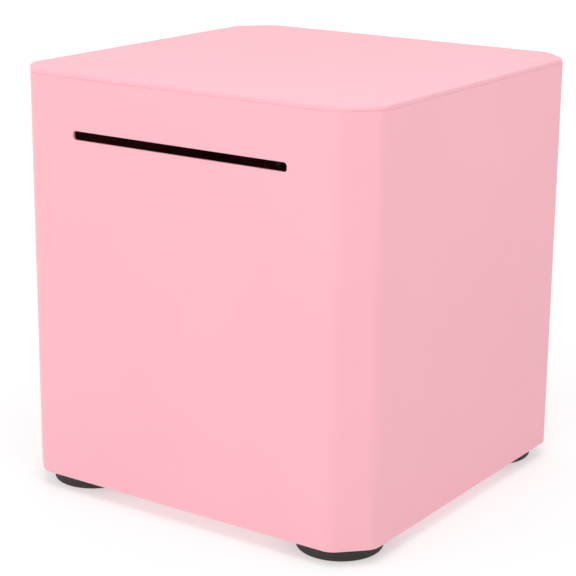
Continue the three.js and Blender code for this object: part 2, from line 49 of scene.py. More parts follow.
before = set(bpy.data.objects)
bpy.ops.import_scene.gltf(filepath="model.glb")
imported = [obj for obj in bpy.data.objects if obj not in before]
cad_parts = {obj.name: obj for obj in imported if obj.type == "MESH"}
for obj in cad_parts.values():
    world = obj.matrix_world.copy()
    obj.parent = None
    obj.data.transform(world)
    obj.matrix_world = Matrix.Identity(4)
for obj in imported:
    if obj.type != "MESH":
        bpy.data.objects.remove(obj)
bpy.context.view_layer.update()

MM = 0.001
TURN = 2 * math.pi
WHITE = (1.0, 1.0, 1.0, 1.0)
WELD = 2e-6  # points closer than this become one
SEAT = 0.05 * MM  # between two pieces that bear on each other
HOLE_ROOM = 3 * MM  # from a hole to the edge of the grid cell that it is cut in
SMOOTH_BELOW = math.radians(35)  # faces that meet at less shade as one surface
ROUND_ABOVE = math.radians(50)  # edges sharper than this are rounded by the coat
FEET = ("front_left", "front_right", "rear_left", "rear_right")
SOFTBOXES = (  # name, place and side in metres, power in watts
    ("Overhead softbox", (0.3, -0.35, 0.95), 0.6, 3.3),
    ("Front softbox", (0.45, -1.45, 0.7), 1.0, 2.1),
)


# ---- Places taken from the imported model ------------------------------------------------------


def span(node, axis):
    """The lowest and highest value of a node along one axis."""
    low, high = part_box(node)
    return low[axis], high[axis]


def middle(node):
    """The middle of a node's box."""
    low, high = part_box(node)
    return (np.array(low) + np.array(high)) / 2


def half_size(node, axis):
    """Half a node's size along one axis."""
    low, high = span(node, axis)
    return (high - low) / 2


# ---- Settings --------------------------------------------------------------------------------


def length(name, description, millimetres):
    """A length that is shown in the scene's units."""
    return FloatProperty(
        name=name, description=description, default=millimetres * MM,
        min=0.0, precision=5, subtype="DISTANCE", unit="LENGTH",
    )


def colour(name, description, value):
    """A linear colour with a swatch."""
    return FloatVectorProperty(
        name=name, description=description, default=value, size=3, min=0.0, max=1.0, subtype="COLOR",
    )


def share(name, description, value):
    """A number from nothing to one."""
    return FloatProperty(
        name=name, description=description, default=value, min=0.0, max=1.0, subtype="FACTOR",
    )


class SheetSettings(bpy.types.PropertyGroup):
    """Sizes of the folded sheet-steel pieces."""

    sheet: length("Sheet", "Thickness of the coated sheet", 1.2)
    facet: length("Facet", "What a corner facet takes off either face", 11.2)
    bend: length("Bend", "Outside radius where a facet meets a face", 7.0)
    fold: length("Fold", "Outside radius of the folds round the door", 1.8)
    edge: length("Edge", "Rounding of the coat over a cut edge", 0.16)
    slot_width: length("Slot width", "Width of the money slot", 90.0)
    slot_height: length("Slot height", "Height of the money slot", 3.2)
    slot_drop: length("Slot drop", "Top of the box to the middle of the slot", 21.4)
    slot_corner: length("Slot corner", "Rounding of the slot's corners", 1.2)
    jamb: length("Jamb", "Width of the strip beside the door", 9.0)
    header: length("Header", "Height of the strips above and below the door", 12.0)
    lip: length("Stop lip", "Height of the door stops", 5.0)
    nesting: length("Nesting gap", "Gap between sheets that are welded together", 0.3)
    cam_gap: length("Cam gap", "Gap between the lock's cam and the ends of the jambs", 0.4)
    stop_gap: length("Stop gap", "Gap between the door and its stops", 0.4)
    flange_gap: length("Flange gap", "How far the flanges stop short of the jambs", 5.0)


class CoverSettings(bpy.types.PropertyGroup):
    """Sizes of the top cover."""

    thickness: length("Thickness", "Thickness of the cover plate", 1.5)
    rim: length("Rim", "Rounding of the upper edge along the sides", 0.6)
    corner_rim: length("Corner rim", "Rounding of the upper edge at the facets", 1.0)
    corner: length("Corner", "Rounding of the corners, seen from above", 9.0)
    skirt: length("Skirt", "Depth of the skirt inside the wrap", 8.0)
    seam: length("Seam", "Opening of the seam under the cover", 0.02)


class FootSettings(bpy.types.PropertyGroup):
    """Sizes of the rubber feet and their fastenings."""

    edge: length("Edge", "Rounding of the lower edge", 1.0)
    shoulder: length("Shoulder", "Rounding of the upper edge", 0.5)
    recess_radius: length("Recess radius", "Radius of the screw's recess", 6.6)
    recess_depth: length("Recess depth", "Depth of the screw's recess", 4.2)
    hole: length("Hole radius", "Radius of the screw's hole", 2.2)
    screw: length("Screw", "Radius of the screw's shank", 2.0)
    pitch: length("Pitch", "Pitch of the screw's thread", 0.7)
    nut_bore: length("Nut bore", "Radius of the nut's bore", 2.1)


class HingeSettings(bpy.types.PropertyGroup):
    """Sizes of the piano hinge."""

    knuckles: IntProperty(name="Knuckles", description="Number of knuckles", default=9, min=3)
    knuckle: length("Knuckle", "Outside radius of a knuckle", 2.0)
    leaf: length("Leaf", "Thickness of a leaf", 0.8)
    width: length("Leaf width", "Hinge axis to the free edge of a leaf", 11.0)
    gap: length("Knuckle gap", "Gap between neighbouring knuckles", 0.3)
    rivet_line: length("Rivet line", "Hinge axis to the rivets", 6.5)
    rivet_shank: length("Rivet shank", "Radius of a rivet's shank", 1.5)
    rivet_hole: length("Rivet hole", "Radius of a rivet's hole", 1.7)
    rivet_tail: length("Rivet tail", "Radius of a rivet's set tail", 2.4)
    rivet_head_height: length("Rivet head height", "Height of a rivet's head", 1.0)
    rivet_tail_height: length("Rivet tail height", "Height of a rivet's set tail", 0.8)


class LockSettings(bpy.types.PropertyGroup):
    """Sizes of the cam lock."""

    flats: length("Flats", "Half the distance across the barrel's flats", 8.1)
    body: length("Body", "Radius of the threaded barrel", 9.0)
    bore: length("Bore", "Radius of the barrel's bore", 5.6)
    pitch: length("Pitch", "Pitch of the barrel's thread", 1.0)
    key_width: length("Keyway width", "Width of the keyway", 1.6)
    key_height: length("Keyway height", "Height of the keyway", 8.0)
    key_depth: length("Keyway depth", "Depth of the keyway", 9.0)
    boss: length("Boss", "Side of the square that carries the cam", 7.0)
    screw: length("Screw", "Radius of the cam screw's shank", 2.5)
    screw_pitch: length("Screw pitch", "Pitch of the cam screw's thread", 0.8)
    screw_depth: length("Screw depth", "Depth of the cam screw's hole", 9.0)
    head: length("Plug head", "Thickness of the plug's head", 1.2)
    play: length("Play", "Gap round the pieces that turn or screw together", 0.1)
    clear: length("Clearance", "Gap round the barrel where it passes through a sheet", 0.2)


class FinishSettings(bpy.types.PropertyGroup):
    """Colours and grains of the finishes."""

    coat: colour("Coat", "Colour of the powder coat", (0.95, 0.465, 0.53))
    coat_roughness: share("Coat roughness", "Roughness of the powder coat", 0.5)
    coat_grain: length("Coat grain", "Spacing of the powder coat's fine grain", 0.35)
    rubber: colour("Rubber", "Colour of the feet", (0.032, 0.03, 0.028))
    dust: colour("Dust", "Colour of the dust on the feet", (0.09, 0.085, 0.08))
    zinc: colour("Zinc", "Colour of the zinc plate", (0.54, 0.55, 0.57))
    nickel: colour("Nickel", "Colour of the nickel plate", (0.70, 0.67, 0.62))


class StageSettings(bpy.types.PropertyGroup):
    """The floor, the lights and the camera."""

    floor: colour("Floor", "Colour of the floor", (0.5, 0.5, 0.5))
    near_glow: share("Near glow", "Light that comes through the floor under the box", 0.5)
    far_glow: share("Far glow", "Light that comes through the floor far from the box", 0.7)
    near: length("Near", "Distance at which the floor's glow begins to rise", 250.0)
    far: length("Far", "Distance at which the floor's glow is full", 1200.0)
    floor_size: length("Floor size", "Side of the floor", 30000.0)
    sky: FloatProperty(name="Sky", description="Brightness of the surroundings", default=0.92, min=0.0)
    shade: FloatVectorProperty(
        name="Shaded side", description="Direction in which the surroundings are darkest",
        default=(1.0, -0.45, 0.15), size=3, subtype="DIRECTION",
    )
    shade_start: share("Shade start", "Cosine of the angle at which the shade begins", 0.2)
    shade_depth: share("Shade", "How much darker the shaded side is", 0.62)
    lens: FloatProperty(name="Lens", description="Focal length in millimetres", default=110.6, min=1.0)
    eye: FloatVectorProperty(
        name="Eye", description="Place of the camera", default=(0.3585, -0.5293, 0.2524),
        size=3, subtype="TRANSLATION", unit="LENGTH",
    )
    aim: FloatVectorProperty(
        name="Aim", description="Point that the camera looks at", default=(-0.0017, -0.0046, 0.0708),
        size=3, subtype="TRANSLATION", unit="LENGTH",
    )
    roll: FloatProperty(
        name="Roll", description="Tilt of the camera about its view", default=math.radians(0.48),
        subtype="ANGLE", unit="ROTATION",
    )


class MoneyBoxSettings(bpy.types.PropertyGroup):
    """All settings of the money box."""

    sheets: PointerProperty(type=SheetSettings, name="Sheets", description="The folded sheets")
    cover: PointerProperty(type=CoverSettings, name="Cover", description="The top cover")
    feet: PointerProperty(type=FootSettings, name="Feet", description="The rubber feet")
    hinge: PointerProperty(type=HingeSettings, name="Hinge", description="The piano hinge")
    lock: PointerProperty(type=LockSettings, name="Lock", description="The cam lock")
    finishes: PointerProperty(type=FinishSettings, name="Finishes", description="The finishes")
    stage: PointerProperty(type=StageSettings, name="Stage", description="The studio")


# ---- Lines -----------------------------------------------------------------------------------


def rounded_line(corners, radii, offset=0.0, closed=False, steps=8):
    """Straight runs joined by arcs, moved to their left by an offset. A point of an arc is its centre
    plus its radius, turned evenly from the normal of the run before to that of the run after. A left
    turn's radius shrinks by the offset and a right turn's grows, so both sides of a sheet match."""
    corners = np.asarray(corners, float)
    after = np.roll(corners, -1, 0) - corners
    after /= np.linalg.norm(after, axis=1, keepdims=True)
    if not closed:
        after[-1] = after[-2]
    before = np.roll(after, 1, 0)
    if not closed:
        before[0] = after[0]
    left_before = np.stack([-before[:, 1], before[:, 0]], 1)
    left_after = np.stack([-after[:, 1], after[:, 0]], 1)
    dot = (before * after).sum(1)
    turn = np.arctan2(before[:, 0] * after[:, 1] - before[:, 1] * after[:, 0], dot)
    side = np.where(np.abs(turn) < 1e-6, 0.0, np.sign(turn))
    radius = np.abs(side) * np.maximum(np.broadcast_to(radii, len(corners)) - side * offset, 0)
    mitre = (left_before + left_after) * (offset / (1 + dot))[:, None]
    centre = corners + mitre
    centre -= before * (radius * np.tan(np.abs(turn) / 2))[:, None]
    centre += left_before * (side * radius)[:, None]
    start = np.arctan2(-side * left_before[:, 1], -side * left_before[:, 0])
    angle = start[:, None] + turn[:, None] * np.linspace(0, 1, steps + 1)
    points = centre[:, None] + radius[:, None, None] * np.stack([np.cos(angle), np.sin(angle)], -1)
    return points.reshape(-1, 2)


def sheet_lines(corners, radii, thickness, steps=8, inset=0.0):
    """A sheet's visible line and the line one thickness to its left, without repeated points."""
    lines = [rounded_line(corners, radii, inset + offset, False, steps) for offset in (0.0, thickness)]
    run = np.max([np.linalg.norm(np.diff(line, axis=0), axis=1) for line in lines], axis=0)
    keep = np.concatenate([[True], run > WELD])
    return [line[keep] for line in lines]


def rectangle(width, height, radius, steps=6):
    """A rectangle about the origin with rounded corners, from its lower left corner on."""
    x, y = width / 2, height / 2
    return rounded_line([(-x, -y), (x, -y), (x, y), (-x, y)], radius, 0.0, True, steps)


def circle(radius):
    """A circle, from its lower left quarter on."""
    return rectangle(2 * radius, 2 * radius, radius)


def double_flat(radius, flats, steps=18):
    """A circle with two upright flats, from its lower left quarter on: the smaller of the radius and
    the flats' distance over the cosine."""
    quarter = math.pi / 2
    angles = (math.pi + np.linspace(0, quarter, steps + 1) + np.arange(4)[:, None] * quarter).ravel()
    reach = np.minimum(radius, flats / np.maximum(np.abs(np.cos(angles)), 1e-6))
    return np.column_stack([reach * np.cos(angles), reach * np.sin(angles)])


def box_corners(sheets):
    """The corners of the box's plan, with a facet at each, counter-clockwise from the front left."""
    x, y = half_size("body_wrap", 0), half_size("body_wrap", 1)
    f = sheets.facet
    return [
        (-x + f, -y), (x - f, -y), (x, -y + f), (x, y - f),
        (x - f, y), (-x + f, y), (-x, y - f), (-x, -y + f),
    ]


def angles_round(count, extra=()):
    """Even angles round an axis, with some more at which a corner lies."""
    even = np.arange(count) * TURN / count
    return np.unique(np.round(np.concatenate([even, np.mod(extra, TURN)]), 9))


# ---- Surfaces --------------------------------------------------------------------------------


def grid_quads(rows, columns, around=False, over=False):
    """The quads of a grid of points kept row by row. around joins the last column to the first, and
    over the last row to the first."""
    i = np.arange(rows if over else rows - 1)[:, None]
    j = np.arange(columns if around else columns - 1)[None, :]
    up, along = (i + 1) % rows, (j + 1) % columns
    corners = [i * columns + j, i * columns + along, up * columns + along, up * columns + j]
    return np.stack(corners, -1).reshape(-1, 4)


def joined(*parts):
    """Several lots of points and faces as one, with the faces counted on."""
    points, faces, start = [], [], 0
    for part_points, part_faces in parts:
        points.append(np.reshape(part_points, (-1, 3)))
        faces += [[index + start for index in face] for face in part_faces]
        start += len(points[-1])
    return np.concatenate(points), faces


def folded_sheet(lines, rows, order, missing=None, holes=(), close=True):
    """A thick sheet: its two lines carried straight along the rows, with order giving the axes of the
    line's two numbers and of the row. missing marks cells that are cut away. Each hole is (row cell,
    column cell, outline): the cell is joined to the outline by a fan at each corner, and the outline
    is carried through the sheet. Free edges are closed from side to side unless close is false."""
    rows = np.asarray(rows, float)
    height, width = len(rows), len(lines[0])
    sides = np.empty((2, height, width, 3))
    for side, line in zip(sides, lines):
        side[..., order[0]] = line[:, 0]
        side[..., order[1]] = line[:, 1]
        side[..., order[2]] = rows[:, None]
    count = height * width
    kept = np.ones((height - 1, width - 1), bool) if missing is None else ~missing
    whole = kept.copy()
    for row, column, _ in holes:
        whole[row, column] = False
    cells = grid_quads(height, width)[whole.ravel()]
    faces = np.concatenate([cells, cells[:, ::-1] + count]).tolist()
    index = np.arange(count).reshape(height, width)
    if close:
        padded = np.pad(kept, 1)
        level = padded[:-1, 1:-1] != padded[1:, 1:-1]
        upright = padded[1:-1, :-1] != padded[1:-1, 1:]
        a = np.concatenate([index[:, :-1][level], index[:-1][upright]])
        b = np.concatenate([index[:, 1:][level], index[1:][upright]])
        faces += np.stack([a, b, b + count, a + count], 1).tolist()
    points = [sides.reshape(-1, 3)]
    start = 2 * count
    for row, column, outline in holes:
        quarter, total = len(outline) // 4, len(outline)
        cell = index[[row, row, row + 1, row + 1], [column, column + 1, column + 1, column]]
        ring = start + np.arange(total)
        for side, grid in enumerate(sides):
            low, right = grid[row, column], grid[row, column + 1]
            along = (right - low) / np.linalg.norm(right - low)
            up = np.eye(3)[order[2]]
            centre = (low + grid[row + 1, column + 1]) / 2
            points.append(centre + outline[:, :1] * along + outline[:, 1:] * up)
            corner = np.repeat(cell, quarter) + side * count
            here, following = ring + side * total, np.roll(ring, -1) + side * total
            fan = np.stack([corner, here, following], 1).reshape(4, quarter, 3)[:, :-1]
            last = np.arange(1, 5) * quarter - 1
            links = [corner[last], here[last], following[last], np.roll(cell, -1) + side * count]
            faces += fan.reshape(-1, 3).tolist() + np.stack(links, 1).tolist()
        wall = [ring, np.roll(ring, -1), np.roll(ring, -1) + total, ring + total]
        faces += np.stack(wall, 1).tolist()
        start += 2 * total
    return np.concatenate(points), faces


def stack(angles, levels, ring=False):
    """Loops of points about +Z, one for each (radius, height), either of which may change with the
    angle. A ring closes on itself, and another stack ends in poles or flat ends."""
    radius = np.array([np.broadcast_to(r, len(angles)) for r, _ in levels])
    height = np.array([np.broadcast_to(h, len(angles)) for _, h in levels])
    points = np.stack([radius * np.cos(angles), radius * np.sin(angles), height], -1)
    return points.reshape(-1, 3), grid_quads(len(levels), len(angles), True, ring).tolist()


def turned(corners, radii, count=64, steps=4, ring=False):
    """A profile of (radius, height) corners, rounded and turned about +Z."""
    return stack(angles_round(count), rounded_line(corners, radii, 0.0, ring, steps), ring)


def along_y(surface, place):
    """A surface about +Z laid along +Y, with its own +Y pointing up, and moved to a place."""
    points, faces = surface
    return points[:, [0, 2, 1]] * (-1, 1, 1) + place, faces


def along_x(surface, place):
    """A surface about +Z laid along +X and moved to a place."""
    points, faces = surface
    return points[:, [2, 1, 0]] * (1, 1, -1) + place, faces


def moved(surface, place):
    """A surface moved to a place."""
    return surface[0] + place, surface[1]


def level_at(outline, height):
    """The (x, y) points of an outline at a height."""
    return np.column_stack([outline, np.full(len(outline), height)])


def plate(outlines, low, high):
    """A flat plate with holes: the area inside the first outline and outside the others, as triangles
    at either height, and a wall along every outline."""
    loops = [[Vector((x, y, 0)) for x, y in outline / MM] for outline in outlines]
    triangles = [list(face) for face in tessellate_polygon(loops)]
    areas = [(level_at(np.concatenate(outlines), height), triangles) for height in (low, high)]
    walls = [wall_between(level_at(outline, low), level_at(outline, high)) for outline in outlines]
    return joined(*areas, *walls)


def wall_between(*loops):
    """Closed loops of as many points each, joined one to the next."""
    return np.concatenate(loops), grid_quads(len(loops), len(loops[0]), True).tolist()


def thread(angles, radius, pitch, heights, depth=0.55):
    """Levels of a screw thread: the radius falls and rises again as a straight-sided wave of the
    height in pitches less the share of a turn, and fades out over the last pitch at either end."""
    low, high = heights[0], heights[-1]
    levels = []
    for height in heights:
        wave = np.abs(2 * np.mod(height / pitch - angles / TURN, 1) - 1)
        fade = np.clip(min(height - low, high - height) / pitch, 0, 1)
        levels.append((radius - depth * pitch * fade * (1 - wave), height))
    return levels


def pan_screw(head_radius, head_height, shank_radius, reach, pitch):
    """A pan-head screw with its head below z = 0. The face is a grid of squares drawn out to a disc:
    a point's distance is its larger coordinate near the rim, and its own further in. Its height is a
    cube of the distance, less the cross recess, whose walls fall between two close grid lines."""
    crown = head_height * 0.4
    wall, half, arm, depth = 0.06 * MM, 0.55 * MM, 2.4 * MM, 1.25 * MM
    face = head_radius * 0.9
    lines = np.concatenate([
        [0, half - wall, half + wall], np.linspace(half + wall, arm - wall, 5)[1:],
        [arm + wall], np.linspace(arm + wall, face, 4)[1:],
    ])
    lines = np.concatenate([-lines[:0:-1], lines])
    x, y = np.meshgrid(lines, lines)
    larger = np.maximum(np.abs(x), np.abs(y))
    distance = np.maximum(np.hypot(x, y), 1e-9)
    bend = np.clip((larger - arm * 0.9) / (face - arm * 0.9), 0, 1)
    spread = 1 - bend + bend * larger / distance

    def within(value, limit):
        return np.clip((limit + wall - np.abs(value)) / (2 * wall), 0, 1)

    cross = np.maximum(within(x, half) * within(y, arm), within(y, half) * within(x, arm))
    sunk = depth * cross * (1 - 0.35 * larger / arm)
    rise = crown * (np.minimum(distance * spread, face) / face) ** 3
    top = np.stack([x * spread, y * spread, -head_height + rise + sunk], -1)
    rim = np.concatenate([top[0, :-1], top[:-1, -1], top[-1, :0:-1], top[:0:-1, 0]])
    angles = np.arctan2(rim[:, 1], rim[:, 0])
    side = rounded_line(
        [(face, crown - head_height), (head_radius, 1.8 * crown - head_height), (head_radius, 0),
         (shank_radius, 0), (shank_radius, 0.4 * MM)],
        [0, 0.5 * MM, 0.15 * MM, 0.2 * MM, 0], 0.0, False, 3,
    )
    heights = np.arange(0.4 * MM, reach - shank_radius * 0.3, pitch / 6)
    levels = [*side, *thread(angles, shank_radius, pitch, heights)]
    levels += [(shank_radius * 0.72, reach), (0, reach)]
    return joined((top, grid_quads(*top.shape[:2]).tolist()), stack(angles, levels))


def hex_nut(across, bore, low, high, count=96):
    """A chamfered nut. Its radius is the smaller of the hexagon's, half the width over the cosine of
    the angle from the flat's middle, and a cone's that starts inside the flats at either face."""
    angles = angles_round(count)
    hexagon = across / 2 / np.cos(np.mod(angles, TURN / 6) - TURN / 12)
    start, slope = across * 0.475, math.tan(math.radians(30))
    depths = np.linspace(0, (across / math.sqrt(3) - start) * slope, 5)
    cone = [(np.minimum(hexagon, start + depth / slope), depth) for depth in depths]
    relief = bore * 0.12
    levels = [(radius, low + depth) for radius, depth in cone]
    levels += [(radius, high - depth) for radius, depth in reversed(cone)]
    levels += [(bore + relief, high), (bore, high - relief), (bore, low + relief), (bore + relief, low)]
    return stack(angles, levels, True)


def washer(outer, inner, low, high, edge=0.12 * MM):
    """A flat ring with rounded edges."""
    corners = [(inner, low), (outer, low), (outer, high), (inner, high)]
    return turned(corners, edge, 72, 3, True)


def rivet(head_radius, shank, tail_radius, head_low, head_high, tail_high, tail_low):
    """A set rivet along +Z: a domed head on top, its shank, and a flattened tail below."""
    edge = 0.25 * MM
    head = np.linspace(0, 1, 9)
    dome = [(head_radius * math.sin(t * math.pi / 2),
             head_low + edge + (head_high - head_low - edge) * math.cos(t * math.pi / 2)) for t in head]
    levels = [*dome, (head_radius - edge / 2, head_low), (shank, head_low), (shank, tail_high)]
    levels += [(tail_radius, tail_high), (tail_radius, tail_high * 0.4 + tail_low * 0.6)]
    levels += [(tail_radius * 0.82, tail_low), (tail_radius * 0.3, tail_low), (0, tail_low)]
    return stack(angles_round(48), levels)


# ---- Pieces ----------------------------------------------------------------------------------


def add_piece(name, surface, body, slot, edge=0.0, node=None):
    """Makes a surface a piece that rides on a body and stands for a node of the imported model, which
    is its namesake unless another is given. Points that meet are merged, faces are turned outwards,
    and cut edges get a rounding of the given width."""
    points, faces = surface
    node = node or name
    name += "_surface"
    mesh = bpy.data.meshes.new(name)
    mesh.from_pydata(points.tolist(), [], faces)
    work = bmesh.new()
    work.from_mesh(mesh)
    bmesh.ops.remove_doubles(work, verts=work.verts, dist=WELD)
    bmesh.ops.dissolve_degenerate(work, edges=work.edges, dist=WELD / 2)
    loose = [vertex for vertex in work.verts if not vertex.link_faces]
    bmesh.ops.delete(work, geom=loose, context="VERTS")
    bmesh.ops.recalc_face_normals(work, faces=work.faces)
    work.to_mesh(mesh)
    work.free()
    mesh.shade_smooth()
    mesh.set_sharp_from_angle(angle=SMOOTH_BELOW)
    mesh.materials.append(finish_of(slot))
    piece = bpy.data.objects.new(name, mesh)
    bpy.context.scene.collection.objects.link(piece)
    if edge:
        rounding = piece.modifiers.new("Coated edge", "BEVEL")
        rounding.width = edge
        rounding.segments = 2
        rounding.limit_method = "ANGLE"
        rounding.angle_limit = ROUND_ABOVE
        rounding.use_clamp_overlap = False
    normals = piece.modifiers.new("Flat faces stay flat", "WEIGHTED_NORMAL")
    normals.keep_sharp = True
    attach(piece, body)
    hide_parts(node)


# ---- Finishes --------------------------------------------------------------------------------


class Finish:
    """A material being made from nodes."""

    def __init__(self, name):
        self.material = bpy.data.materials.new(name)
        self.material.use_nodes = True
        self.tree = self.material.node_tree
        self.shader = self.tree.nodes["Principled BSDF"]
        self.place = self.add("ShaderNodeTexCoord").outputs["Object"]

    def add(self, kind, settings=None, **inputs):
        """A node with its settings, and its inputs given as values or as other nodes' outputs."""
        node = self.tree.nodes.new(kind)
        for key, value in (settings or {}).items():
            setattr(node, key, value)
        self.feed(node, inputs)
        return node

    def feed(self, node, inputs):
        """Sets a node's inputs by name, or links them."""
        for key, value in inputs.items():
            target = next(s for s in node.inputs if s.name == key.replace("_", " ") and s.enabled)
            if isinstance(value, bpy.types.NodeSocket):
                self.tree.links.new(value, target)
            else:
                target.default_value = value

    def noise(self, spacing, detail=2.0, stretch=(1.0, 1.0, 1.0)):
        """Noise from 0 to 1 whose features lie a spacing apart, drawn out along an axis by stretch."""
        scale = [1 / (spacing * run) for run in stretch]
        mapping = self.add("ShaderNodeMapping", Vector=self.place, Scale=scale)
        return self.add(
            "ShaderNodeTexNoise", Vector=mapping.outputs[0], Scale=1.0, Detail=detail, Roughness=0.55,
        ).outputs[0]

    def mapped(self, value, low, high, start=0.3, end=0.7):
        """A value's range from start to end, spread from low to high."""
        limits = {"From_Min": start, "From_Max": end, "To_Min": low, "To_Max": high}
        return self.add("ShaderNodeMapRange", Value=value, **limits).outputs[0]

    def mixed(self, factor, first, second):
        """Two colours mixed by a factor."""
        node = self.add("ShaderNodeMix", {"data_type": "RGBA"}, Factor=factor, A=first, B=second)
        return next(s for s in node.outputs if s.enabled)

    def drifting(self, factor, tint, low, high):
        """A colour that goes from one shade of it to another as a factor rises."""
        return self.mixed(self.mapped(factor, 0, 1), shaded(tint, low), shaded(tint, high))

    def bumped(self, height, depth, below=None):
        """A surface raised by up to a depth, on top of another bump."""
        node = self.add("ShaderNodeBump", Height=height, Distance=depth, Strength=1.0)
        if below is not None:
            self.tree.links.new(below, node.inputs["Normal"])
        return node.outputs[0]

    def finish(self, **inputs):
        """Connects the shader's inputs and gives the material."""
        self.feed(self.shader, inputs)
        return self.material


def shaded(tint, factor=1.0):
    """A colour made lighter or darker, with full opacity."""
    return (*(min(c * factor, 1.0) for c in tint), 1.0)


def powder_coat(made, settings):
    """Fine matt powder coat: a slight cloudiness over the whole sheet, a soft ripple with a spacing
    of a millimetre or two, and a fine grain that shows in the bump, the colour and the roughness."""
    clouds = made.noise(50 * MM, 3.0)
    ripple = made.noise(1.6 * MM, 1.0)
    grain = made.noise(settings.coat_grain, 2.0)
    base = made.drifting(clouds, settings.coat, 0.985, 1.012)
    speckled = made.mixed(made.mapped(grain, 0.0, 0.12, 0.62, 0.8), base, shaded(settings.coat, 0.8))
    normal = made.bumped(grain, 0.006 * MM, made.bumped(ripple, 0.01 * MM))
    rough = made.mapped(grain, settings.coat_roughness - 0.05, settings.coat_roughness + 0.06)
    return made.finish(Base_Color=speckled, Roughness=rough, Normal=normal)


def moulded_rubber(made, settings):
    """Matt black rubber: a fine moulded grain, and pale dust held in its low places."""
    grain = made.noise(0.3 * MM, 3.0)
    patches = made.noise(4 * MM, 3.0)
    base = made.drifting(patches, settings.rubber, 0.85, 1.25)
    dusty = made.mixed(made.mapped(grain, 0.0, 0.25, 0.55, 0.8), base, shaded(settings.dust))
    rough = made.mapped(patches, 0.62, 0.82)
    return made.finish(Base_Color=dusty, Roughness=rough, Normal=made.bumped(grain, 0.02 * MM))


def bright_zinc(made, settings):
    """Zinc plate with a faint blue and straw tint in patches, and fine lines along the sheet."""
    lines = made.noise(0.12 * MM, 2.0, (1.0, 1.0, 25.0))
    patches = made.noise(5 * MM, 4.0)
    straw, blue = (np.array(settings.zinc) * cast for cast in ((1.04, 1.0, 0.9), (0.95, 0.99, 1.06)))
    tint = made.mixed(made.mapped(patches, 0, 1), shaded(straw), shaded(blue))
    return made.finish(
        Base_Color=tint, Metallic=1.0, Roughness=made.mapped(lines, 0.22, 0.42),
        Normal=made.bumped(lines, 0.002 * MM),
    )


def satin_nickel(made, settings):
    """Nickel plate on a turned casting: fine rings about the lock's axis, and cloudy roughness."""
    centred = made.add("ShaderNodeMapping", Vector=made.place, Location=-middle("lock_plug"))
    rings = made.add(
        "ShaderNodeTexWave", {"wave_type": "RINGS", "rings_direction": "Y", "wave_profile": "TRI"},
        Vector=centred.outputs[0], Scale=1400.0, Distortion=1.5, Detail=2.0, Detail_Scale=40.0,
    )
    patches = made.noise(2.5 * MM, 3.0)
    return made.finish(
        Base_Color=made.drifting(patches, settings.nickel, 0.94, 1.04), Metallic=1.0,
        Roughness=made.mapped(patches, 0.2, 0.32),
        Normal=made.bumped(rings.outputs["Fac"], 0.006 * MM),
    )


FINISHES = {
    "pink_coat": ("Pink powder coat", powder_coat),
    "black_rubber": ("Black rubber", moulded_rubber),
    "zinc_plate": ("Bright zinc plate", bright_zinc),
    "nickel_plate": ("Satin nickel plate", satin_nickel),
}


def finish_of(slot):
    """The finish of a material slot, made when it is first asked for."""
    name, make = FINISHES[slot]
    return bpy.data.materials.get(name) or make(Finish(name), bpy.context.scene.money_box.finishes)


# ---- Operators -------------------------------------------------------------------------------


def opening(sheets):
    """Half the width of the door opening, and the heights of its lower and upper edges."""
    bottom, top = span("body_wrap", 2)[0], span("top_cover", 2)[1]
    half = half_size("body_wrap", 0) - sheets.facet - sheets.jamb
    return half, bottom + sheets.header, top - sheets.header


def jamb_end(sheets):
    """Where the jambs end inside the box, clear of the lock's cam."""
    return span("lock_cam", 1)[1] + sheets.cam_gap


def rivet_heights(side):
    """The heights of the three rivets in one leaf of the hinge."""
    return [middle(f"{side}_rivet_{i}")[2] for i in (1, 2, 3)]


